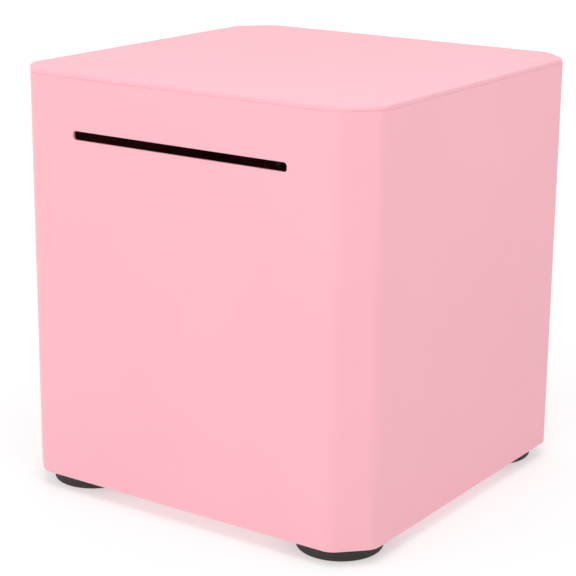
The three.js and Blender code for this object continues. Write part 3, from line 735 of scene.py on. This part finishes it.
class MONEYBOX_OT_wrap(bpy.types.Operator):
    """Make the sheet that is folded round the box, with the money slot in its front"""

    bl_idname = "moneybox.wrap"
    bl_label = "Wrap"

    def execute(self, context):
        box = context.scene.money_box
        sheets, cover, hinge = box.sheets, box.cover, box.hinge
        x, y = half_size("body_wrap", 0), half_size("body_wrap", 1)
        half, _, _ = opening(sheets)
        bottom = span("body_wrap", 2)[0]
        box_top = span("top_cover", 2)[1]
        top = box_top - cover.thickness - cover.seam
        end = jamb_end(sheets)
        relief_y = y - sheets.sheet - sheets.nesting
        relief_z = span("foot_screw_rear_left", 2)[1] + sheets.nesting
        hole_y = middle("hinge_pin")[1] - hinge.rivet_line
        half_slot = sheets.slot_width / 2 + HOLE_ROOM
        corners = [
            (-half, end), (-half, hole_y - HOLE_ROOM), (-half, hole_y + HOLE_ROOM), (-half, relief_y),
            (-half, y), (-x + sheets.facet, y), (-x, y - sheets.facet), (-x, -y + sheets.facet),
            (-x + sheets.facet, -y), (-half_slot, -y), (half_slot, -y), (x - sheets.facet, -y),
            (x, -y + sheets.facet), (x, y - sheets.facet), (x - sheets.facet, y), (half, y),
            (half, relief_y), (half, end),
        ]
        radii = [sheets.fold if abs(cx) == half else sheets.bend for cx, _ in corners]
        lines = sheet_lines(corners, radii, sheets.sheet, 10)
        slot_z = box_top - sheets.slot_drop
        half_height = sheets.slot_height / 2 + HOLE_ROOM
        holes_z = rivet_heights("case")
        rows = [bottom, relief_z]
        for z in holes_z:
            rows += [z - HOLE_ROOM, z + HOLE_ROOM]
        rows += [slot_z - half_height, slot_z + half_height, top]
        mid_x, mid_y = ((lines[0][:-1] + lines[0][1:]) / 2).T
        missing = np.zeros((len(rows) - 1, len(mid_x)), bool)
        missing[0] = (np.abs(np.abs(mid_x) - half) < WELD) & (mid_y < relief_y)
        slot_column = int(np.argmin(np.hypot(mid_x, mid_y + y)))
        hole_column = int(np.argmin(np.hypot(mid_x + half, mid_y - hole_y)))
        slot = rectangle(sheets.slot_width, sheets.slot_height, sheets.slot_corner)
        holes = [(2 + 2 * i, hole_column, circle(hinge.rivet_hole)) for i in range(len(holes_z))]
        holes.append((len(rows) - 3, slot_column, slot))
        surface = folded_sheet(lines, rows, (0, 1, 2), missing, holes)
        add_piece("wrap", surface, "case", "pink_coat", sheets.edge, "body_wrap")
        return {"FINISHED"}


def flange(sheets, low, high):
    """A band just inside the wrap, along its front and both sides."""
    plan = box_corners(sheets)
    back = jamb_end(sheets) - sheets.flange_gap
    corners = [(plan[6][0], back), plan[7], plan[0], plan[1], plan[2], (plan[2][0], back)]
    inset = sheets.sheet + sheets.nesting
    lines = sheet_lines(corners, sheets.bend, sheets.sheet, inset=inset)
    return folded_sheet(lines, [low, high], (0, 1, 2))


def door_strip(sheets, start, edge_z, away):
    """The strip above or below the door, returned inwards and folded into a door stop."""
    half, _, _ = opening(sheets)
    rear = half_size("body_wrap", 1)
    stop = span("door_panel", 1)[0] - sheets.stop_gap
    corners = [*start, (rear, edge_z), (stop, edge_z), (stop, edge_z + away * sheets.lip)]
    radii = [0] + [sheets.fold] * len(start) + [sheets.fold - sheets.sheet, 0]
    lines = sheet_lines(corners, radii, away * sheets.sheet)
    side = half - sheets.nesting
    return folded_sheet(lines, [-side, side], (1, 2, 0))


class MONEYBOX_OT_cover(bpy.types.Operator):
    """Make the top cover, with its rounded rim, its skirt and the strip above the door"""

    bl_idname = "moneybox.cover"
    bl_label = "Cover"

    def execute(self, context):
        sheets, cover = context.scene.money_box.sheets, context.scene.money_box.cover
        top = span("top_cover", 2)[1]
        under = top - cover.thickness
        edge = sheets.edge
        plan = box_corners(sheets)
        outline, inner = (rounded_line(plan, cover.corner, inset, True, 16) for inset in (0.0, MM))
        inward = (inner - outline) / MM
        at_facet = np.abs(2 * inward[:, 0] * inward[:, 1])
        rim = cover.rim + (cover.corner_rim - cover.rim) * at_facet
        loops = []
        for angle in np.linspace(0, math.pi / 2, 11):
            inset, drop = rim * (1 - math.sin(angle)), rim * (1 - math.cos(angle))
            loops.append(np.column_stack([outline + inward * inset[:, None], top - drop]))
        for inset, z in ((0.0, under + edge / 3), (edge / 3, under)):
            loops.append(level_at(outline + inward * inset, z))
        points, faces = wall_between(*loops)
        count = len(loops[0])
        faces += [list(range(count)), list(range(len(points) - count, len(points)))]
        skirt = flange(sheets, under - cover.skirt, under)
        strip = door_strip(sheets, [(half_size("body_wrap", 1), under)], opening(sheets)[2], -1)
        add_piece("cover_plate", (points, faces), "case", "pink_coat", 0.0, "top_cover")
        add_piece("cover_skirt", skirt, "case", "pink_coat", edge, "top_cover")
        add_piece("cover_header", strip, "case", "pink_coat", edge, "top_cover")
        return {"FINISHED"}


class MONEYBOX_OT_base(bpy.types.Operator):
    """Make the base plate, with its flange and the strip below the door"""

    bl_idname = "moneybox.base"
    bl_label = "Base"

    def execute(self, context):
        sheets, feet = context.scene.money_box.sheets, context.scene.money_box.feet
        under = span("base_plate", 2)[0]
        upper = under + sheets.sheet
        outline = rounded_line(box_corners(sheets), sheets.bend, sheets.sheet + sheets.nesting, True)
        holes = [circle(feet.hole) + middle(f"foot_screw_{corner}")[:2] for corner in FEET]
        floor = plate([outline, *holes], under, upper)
        band = flange(sheets, upper, span("base_plate", 2)[1])
        rear = half_size("body_wrap", 1)
        start = [(rear - sheets.fold, under), (rear, under)]
        strip = door_strip(sheets, start, opening(sheets)[1], 1)
        add_piece("floor_plate", floor, "case", "pink_coat", 0.0, "base_plate")
        add_piece("floor_flange", band, "case", "pink_coat", sheets.edge, "base_plate")
        add_piece("floor_sill", strip, "case", "pink_coat", sheets.edge, "base_plate")
        return {"FINISHED"}


class MONEYBOX_OT_feet(bpy.types.Operator):
    """Make the four rubber feet, each with its washer, screw and nut"""

    bl_idname = "moneybox.feet"
    bl_label = "Feet"

    def execute(self, context):
        feet = context.scene.money_box.feet
        for corner in FEET:
            node = f"foot_{corner}"
            x, y, _ = middle(node)
            place = (x, y, 0)
            radius, top = half_size(node, 0), span(node, 2)[1]
            rubber = turned(
                [(feet.recess_radius, feet.recess_depth), (feet.recess_radius, 0), (radius, 0),
                 (radius, top), (feet.hole, top), (feet.hole, feet.recess_depth)],
                [0.3 * MM, 0.5 * MM, feet.edge, feet.shoulder, 0.1 * MM, 0.1 * MM], 128, 6, True,
            )
            add_piece(node, moved(rubber, place), "case", "black_rubber")
            screw_node, washer_node = f"foot_screw_{corner}", f"foot_washer_{corner}"
            nut_node = f"foot_nut_{corner}"
            ring = washer(half_size(washer_node, 0), feet.hole, *span(washer_node, 2))
            add_piece(washer_node, moved(ring, place), "case", "zinc_plate")
            head_face, end = span(screw_node, 2)
            seat = span(washer_node, 2)[0] - SEAT
            head_radius, head_height = half_size(screw_node, 0), seat - head_face
            screw = pan_screw(head_radius, head_height, feet.screw, end - seat, feet.pitch)
            add_piece(screw_node, moved(screw, (x, y, seat)), "case", "zinc_plate")
            nut = hex_nut(2 * half_size(nut_node, 1), feet.nut_bore, *span(nut_node, 2))
            add_piece(nut_node, moved(nut, place), "case", "zinc_plate")
        return {"FINISHED"}


def hinge_leaf(hinge, first, side):
    """One leaf of the hinge as a sheet about the pin: a flat run, then an arc rolled round the pin.
    first is 0 for the leaf with the end knuckles. side -1 lays the flat run along -Y, 1 along +X."""
    pin = middle("hinge_pin")
    low, high = span("hinge_pin", 2)
    low, high = low - hinge.gap / 2, high + hinge.gap / 2
    pitch = (high - low) / hinge.knuckles
    node = "case" if side < 0 else "door"
    hole_room = 2.6 * MM
    hole_sides = (-hinge.rivet_line - hole_room, -hinge.rivet_line + hole_room)
    flat = np.array([-hinge.width, *hole_sides, -hinge.knuckle - hinge.gap, 0.0])
    roll = np.linspace(0, math.radians(300), 31)[1:]
    lines = []
    for radius in (hinge.knuckle, hinge.knuckle - hinge.leaf):
        run = np.column_stack([flat, np.full(len(flat), -radius)])
        arc = np.column_stack([np.sin(roll), -np.cos(roll)]) * radius
        lines.append(np.concatenate([run, arc]))
    marks = [low + hinge.gap / 2]
    for i in range(1, hinge.knuckles):
        marks += [low + i * pitch - hinge.gap / 2, low + i * pitch + hinge.gap / 2]
    marks.append(high - hinge.gap / 2)
    heights = rivet_heights(node)
    for z in heights:
        marks += [z - hole_room, z + hole_room]
    rows = np.unique(np.round(marks, 8))
    between = (rows[:-1] + rows[1:]) / 2
    turn = np.floor((between - low) / pitch).astype(int)
    offset = np.abs(between - (low + (turn + 0.5) * pitch))
    own = (turn % 2 == first) & (offset < (pitch - hinge.gap) / 2)
    missing = np.zeros((len(rows) - 1, len(lines[0]) - 1), bool)
    missing[~own, 3:] = True
    holes = [(int(np.argmin(np.abs(between - z))), 1, circle(hinge.rivet_hole)) for z in heights]
    points, faces = folded_sheet(lines, rows, (0, 1, 2), missing, holes)
    if side < 0:
        points = points[:, [1, 0, 2]]
    else:
        points = points * (-1, 1, 1)
    return points + (pin[0], pin[1], 0), faces


class MONEYBOX_OT_hinge(bpy.types.Operator):
    """Make the two rolled leaves of the piano hinge, its pin and its rivets"""

    bl_idname = "moneybox.hinge"
    bl_label = "Hinge"

    def execute(self, context):
        hinge = context.scene.money_box.hinge
        add_piece("hinge_leaf_case", hinge_leaf(hinge, 0, -1), "case", "zinc_plate", 0.1 * MM)
        add_piece("hinge_leaf_door", hinge_leaf(hinge, 1, 1), "door", "zinc_plate", 0.1 * MM)
        x, y, _ = middle("hinge_pin")
        low, high = span("hinge_pin", 2)
        radius = half_size("hinge_pin", 0)
        rod = turned([(0, low), (radius, low), (radius, high), (0, high)],
                     [0, 0.3 * MM, 0.3 * MM, 0], 32, 4)
        add_piece("hinge_pin", moved(rod, (x, y, 0)), "case", "zinc_plate")
        for side, axis, lay in (("case", 0, along_x), ("door", 1, along_y)):
            for i in (1, 2, 3):
                node = f"{side}_rivet_{i}"
                tail_low, head_high = span(node, axis)
                place = middle(node)
                place[axis] = 0
                head_low = head_high - hinge.rivet_head_height
                tail_high = tail_low + hinge.rivet_tail_height
                shape = rivet(half_size(node, 2), hinge.rivet_shank, hinge.rivet_tail,
                              head_low, head_high, tail_high, tail_low)
                add_piece(node, lay(shape, place), side, "zinc_plate")
        return {"FINISHED"}


class MONEYBOX_OT_door(bpy.types.Operator):
    """Make the door, a tray pressed from sheet with holes for the lock and the hinge's rivets"""

    bl_idname = "moneybox.door"
    bl_label = "Door"

    def execute(self, context):
        box = context.scene.money_box
        sheets, hinge, lock = box.sheets, box.hinge, box.lock
        (x0, x1), (back, face), (z0, z1) = (span("door_panel", axis) for axis in range(3))
        lock_x, _, lock_z = middle("lock_plug")
        rivet_x, heights = middle("door_rivet_1")[0], rivet_heights("door")
        reach = half_size("lock_barrel", 0) + HOLE_ROOM
        cuts_x = [rivet_x - HOLE_ROOM, rivet_x + HOLE_ROOM, lock_x - reach, lock_x + reach]
        cuts_z = [
            heights[0] - HOLE_ROOM, heights[0] + HOLE_ROOM, lock_z - reach, lock_z + reach,
            heights[2] - HOLE_ROOM, heights[2] + HOLE_ROOM,
        ]
        corners = [(x0, z0), *((x, z0) for x in cuts_x), (x1, z0), *((x1, z) for z in cuts_z)]
        corners += [(x1, z1), *((x, z1) for x in reversed(cuts_x))]
        corners += [(x0, z1), *((x0, z) for z in reversed(cuts_z))]
        fold, inner = sheets.fold, sheets.fold - sheets.sheet
        quarter = np.linspace(0, math.pi / 2, 9)
        levels = [(fold * (1 - math.sin(t)), face - fold * (1 - math.cos(t))) for t in quarter]
        levels += [(0, back), (sheets.sheet, back)]
        levels += [(fold - inner * math.cos(t), face - fold + inner * math.sin(t)) for t in quarter]
        loops = []
        for inset, y in levels:
            outline = rounded_line(corners, fold, inset, True, 8)
            loops.append(np.column_stack([outline[:, 0], np.full(len(outline), y), outline[:, 1]]))
        columns = np.array([x0 + fold, *cuts_x, x1 - fold])
        rows = np.array([z0 + fold, *cuts_z, z1 - fold])
        depths = (face, face - sheets.sheet)
        lines = [np.column_stack([columns, np.full(len(columns), y)]) for y in depths]
        row_of = np.searchsorted(rows, [*heights, lock_z]) - 1
        column_of = np.searchsorted(columns, [rivet_x] * len(heights) + [lock_x]) - 1
        outlines = [circle(hinge.rivet_hole)] * len(heights)
        outlines.append(double_flat(lock.body + lock.clear, lock.flats + lock.clear))
        holes = list(zip(row_of, column_of, outlines))
        panel = folded_sheet(lines, rows, (0, 1, 2), None, holes, False)
        add_piece("door_panel", joined(wall_between(*loops), panel), "door", "pink_coat", sheets.edge)
        return {"FINISHED"}


class MONEYBOX_OT_lock_body(bpy.types.Operator):
    """Make the lock's barrel, and the washer and nut that hold it in the door"""

    bl_idname = "moneybox.lock_body"
    bl_label = "Lock body"

    def execute(self, context):
        lock = context.scene.money_box.lock
        centre = middle("lock_plug")
        place = (centre[0], 0, centre[2])
        end, front = span("lock_barrel", 1)
        face = span("door_panel", 1)[1] + SEAT
        radius = half_size("lock_barrel", 0)
        angles = angles_round(144)
        cos = np.maximum(np.abs(np.cos(angles)), 1e-6)
        flats = lock.flats / cos
        plain, lead = 1.2 * MM, 0.5 * MM
        heights = np.arange(face - plain, end + lead, -lock.pitch / 6)
        turns = thread(angles, lock.body, lock.pitch, heights[::-1])
        screw = [(np.minimum(reach, flats), height) for reach, height in turns]
        room = half_size("lock_plug", 0) + lock.play
        seat = span("lock_plug", 1)[1] - lock.head - lock.play
        head = rounded_line(
            [(room, seat), (room, front), (radius, front), (radius, face), (lock.body, face)],
            [0, 0.15 * MM, 0.6 * MM, 0.1 * MM, 0], 0.0, False, 5,
        )
        levels = [*head, (np.minimum(lock.body, flats), face)] + screw[::-1]
        levels += [(np.minimum(lock.body - lead, flats), end), (lock.bore, end), (lock.bore, seat)]
        barrel = along_y(stack(angles, levels, True), place)
        add_piece("lock_barrel", barrel, "door", "nickel_plate")
        bore = np.minimum(lock.body + lock.clear, (lock.flats + lock.clear) / cos)
        low, high = span("lock_washer", 1)
        outer, edge = half_size("lock_washer", 0), 0.12 * MM
        ring = [(bore + edge, low), (outer - edge, low), (outer, low + edge), (outer, high - edge),
                (outer - edge, high), (bore + edge, high), (bore, high - edge), (bore, low + edge)]
        add_piece("lock_washer", along_y(stack(angles, ring, True), place), "door", "zinc_plate")
        nut = hex_nut(2 * half_size("lock_nut", 2), lock.body + lock.play, *span("lock_nut", 1), 144)
        add_piece("lock_nut", along_y(nut, place), "door", "zinc_plate")
        return {"FINISHED"}


class MONEYBOX_OT_lock_core(bpy.types.Operator):
    """Make what turns in the lock: the plug with its keyway, the cam, its washer and its screw"""

    bl_idname = "moneybox.lock_core"
    bl_label = "Lock core"

    def execute(self, context):
        lock = context.scene.money_box.lock
        centre = middle("lock_plug")
        place = (centre[0], 0, centre[2])
        boss_end, face = span("lock_plug", 1)
        barrel_end = span("lock_barrel", 1)[0]
        half_boss, half_key, high_key = lock.boss / 2, lock.key_width / 2, lock.key_height / 2
        corner = math.atan2(high_key, half_key)
        extra = [corner, math.pi - corner, -corner, math.pi + corner, *(np.arange(4) + 0.5) * TURN / 4]
        angles = angles_round(144, extra)
        cos = np.maximum(np.abs(np.cos(angles)), 1e-6)
        sin = np.maximum(np.abs(np.sin(angles)), 1e-6)
        key = np.minimum(half_key / cos, high_key / sin)
        square = np.minimum(half_boss / cos, half_boss / sin)
        head, body = half_size("lock_plug", 0), lock.bore - lock.play
        seat = face - lock.head
        hole, hole_end = lock.screw + lock.play, boss_end + lock.screw_depth
        floor = face - lock.key_depth
        bevel = 0.25 * MM
        levels = [(0, floor), (key, floor), (key, face - bevel / 2), (key + bevel / 2, face),
                  (head - bevel, face), (head - bevel * 0.3, face - bevel * 0.3), (head, face - bevel),
                  (head, seat), (body, seat), (body, barrel_end), (square, barrel_end),
                  (square, boss_end + bevel), (square - bevel, boss_end), (hole, boss_end),
                  (hole, hole_end), (0, hole_end)]
        core = along_y(stack(angles, levels), place)
        add_piece("lock_plug", core, "lock", "nickel_plate")
        low, high = span("lock_cam", 1)
        radius = half_size("lock_cam", 0)
        rise = span("lock_cam", 2)[1] - centre[2] - radius
        side = radius / cos
        cap = rise * sin + np.sqrt(np.maximum(radius ** 2 - (rise * cos) ** 2, 0))
        outline = np.where(np.sin(angles) > 0, np.where(side * sin < rise, side, cap), radius)
        gap = square * (half_boss + lock.play) / half_boss
        edge = 0.2 * MM
        ring = [
            (gap + edge / 2, low), (outline - edge, low), (outline - edge * 0.3, low + edge * 0.3),
            (outline, low + edge), (outline, high - edge), (outline - edge * 0.3, high - edge * 0.3),
            (outline - edge, high), (gap + edge / 2, high),
            (gap, high - edge / 2), (gap, low + edge / 2),
        ]
        add_piece("lock_cam", along_y(stack(angles, ring, True), place), "lock", "zinc_plate")
        disc = washer(half_size("cam_washer", 0), lock.screw + lock.clear, *span("cam_washer", 1))
        add_piece("cam_washer", along_y(disc, place), "lock", "zinc_plate")
        head_face, end = span("cam_screw", 1)
        seat = span("cam_washer", 1)[0] - SEAT
        head_radius, head_height = half_size("cam_screw", 0), seat - head_face
        screw = pan_screw(head_radius, head_height, lock.screw, end - seat, lock.screw_pitch)
        add_piece("cam_screw", along_y(screw, (place[0], seat, place[2])), "lock", "zinc_plate")
        return {"FINISHED"}


def softbox(name, place, size, power):
    """A square area light that faces the middle of the box."""
    data = bpy.data.lights.new(name, "AREA")
    data.shape = "SQUARE"
    data.size = size
    data.energy = power
    light = bpy.data.objects.new(name, data)
    light.location = place
    view = Vector(middle("body_wrap")) - Vector(place)
    light.rotation_euler = view.to_track_quat("-Z", "Y").to_euler()
    bpy.context.scene.collection.objects.link(light)


class MONEYBOX_OT_stage(bpy.types.Operator):
    """Make the pale floor, the soft lights and the camera"""

    bl_idname = "moneybox.stage"
    bl_label = "Stage"

    def execute(self, context):
        scene, stage = context.scene, context.scene.money_box.stage
        side = stage.floor_size
        mesh = bpy.data.meshes.new("floor")
        mesh.from_pydata(level_at(rectangle(side, side, 0, steps=0), 0).tolist(), [], [[0, 1, 2, 3]])
        made = Finish("Pale floor")
        base = made.drifting(made.noise(400 * MM, 3.0), stage.floor, 0.995, 1.005)
        distance = made.add("ShaderNodeVectorMath", {"operation": "LENGTH"}, Vector=made.place)
        glow = made.mapped(
            distance.outputs["Value"], stage.near_glow, stage.far_glow, stage.near, stage.far,
        )
        mesh.materials.append(made.finish(
            Base_Color=base, Roughness=0.9, Emission_Color=WHITE, Emission_Strength=glow,
        ))
        floor = bpy.data.objects.new("floor", mesh)
        scene.collection.objects.link(floor)

        world = bpy.data.worlds.new("Studio")
        world.use_nodes = True
        tree = world.node_tree
        direction = tree.nodes.new("ShaderNodeTexCoord")
        facing = tree.nodes.new("ShaderNodeVectorMath")
        facing.operation = "DOT_PRODUCT"
        facing.inputs[1].default_value = Vector(stage.shade).normalized()
        falloff = tree.nodes.new("ShaderNodeMapRange")
        falloff.interpolation_type = "SMOOTHSTEP"
        falloff.inputs["From Min"].default_value = stage.shade_start
        falloff.inputs["To Min"].default_value = stage.sky
        falloff.inputs["To Max"].default_value = stage.sky * (1 - stage.shade_depth)
        sky = tree.nodes["Background"]
        sky.inputs["Color"].default_value = WHITE
        tree.links.new(direction.outputs["Generated"], facing.inputs[0])
        tree.links.new(facing.outputs["Value"], falloff.inputs["Value"])
        tree.links.new(falloff.outputs["Result"], sky.inputs["Strength"])
        scene.world = world
        scene.view_settings.view_transform = "Standard"

        for light in SOFTBOXES:
            softbox(*light)

        eye, aim = Vector(stage.eye), Vector(stage.aim)
        data = bpy.data.cameras.new("Camera")
        data.sensor_width = 36.0
        data.lens = stage.lens
        data.clip_start = 0.01
        camera = bpy.data.objects.new("Camera", data)
        turn = (aim - eye).to_track_quat("-Z", "Y").to_matrix().to_4x4()
        camera.matrix_world = Matrix.Translation(eye) @ turn @ Matrix.Rotation(stage.roll, 4, "Z")
        scene.collection.objects.link(camera)
        scene.camera = camera
        return {"FINISHED"}


class MONEYBOX_PT_panel(bpy.types.Panel):
    """Lists what can be built"""

    bl_idname = "MONEYBOX_PT_panel"
    bl_label = "Money box"
    bl_space_type = "VIEW_3D"
    bl_region_type = "UI"
    bl_category = "Money box"

    def draw(self, context):
        for operator in OPERATORS:
            self.layout.operator(operator.bl_idname)
        for name in MoneyBoxSettings.__annotations__:
            group = getattr(context.scene.money_box, name)
            column = self.layout.column(heading=name.capitalize())
            for key in group.__annotations__:
                column.prop(group, key)


GROUPS = (
    SheetSettings, CoverSettings, FootSettings, HingeSettings, LockSettings, FinishSettings,
    StageSettings, MoneyBoxSettings,
)
OPERATORS = (
    MONEYBOX_OT_wrap, MONEYBOX_OT_cover, MONEYBOX_OT_base, MONEYBOX_OT_feet, MONEYBOX_OT_hinge,
    MONEYBOX_OT_door, MONEYBOX_OT_lock_body, MONEYBOX_OT_lock_core, MONEYBOX_OT_stage,
)


def register():
    """Registers the settings, the operators and the panel."""
    for item in (*GROUPS, *OPERATORS, MONEYBOX_PT_panel):
        bpy.utils.register_class(item)
    bpy.types.Scene.money_box = PointerProperty(
        type=MoneyBoxSettings, name="Money box", description="Sizes and finishes of the money box",
    )


def unregister():
    """Takes them away again."""
    del bpy.types.Scene.money_box
    for item in reversed((*GROUPS, *OPERATORS, MONEYBOX_PT_panel)):
        bpy.utils.unregister_class(item)


def main():
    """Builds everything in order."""
    register()
    for operator in OPERATORS:
        group, name = operator.bl_idname.split(".")
        getattr(getattr(bpy.ops, group), name)()


if __name__ == "__main__":
    main()
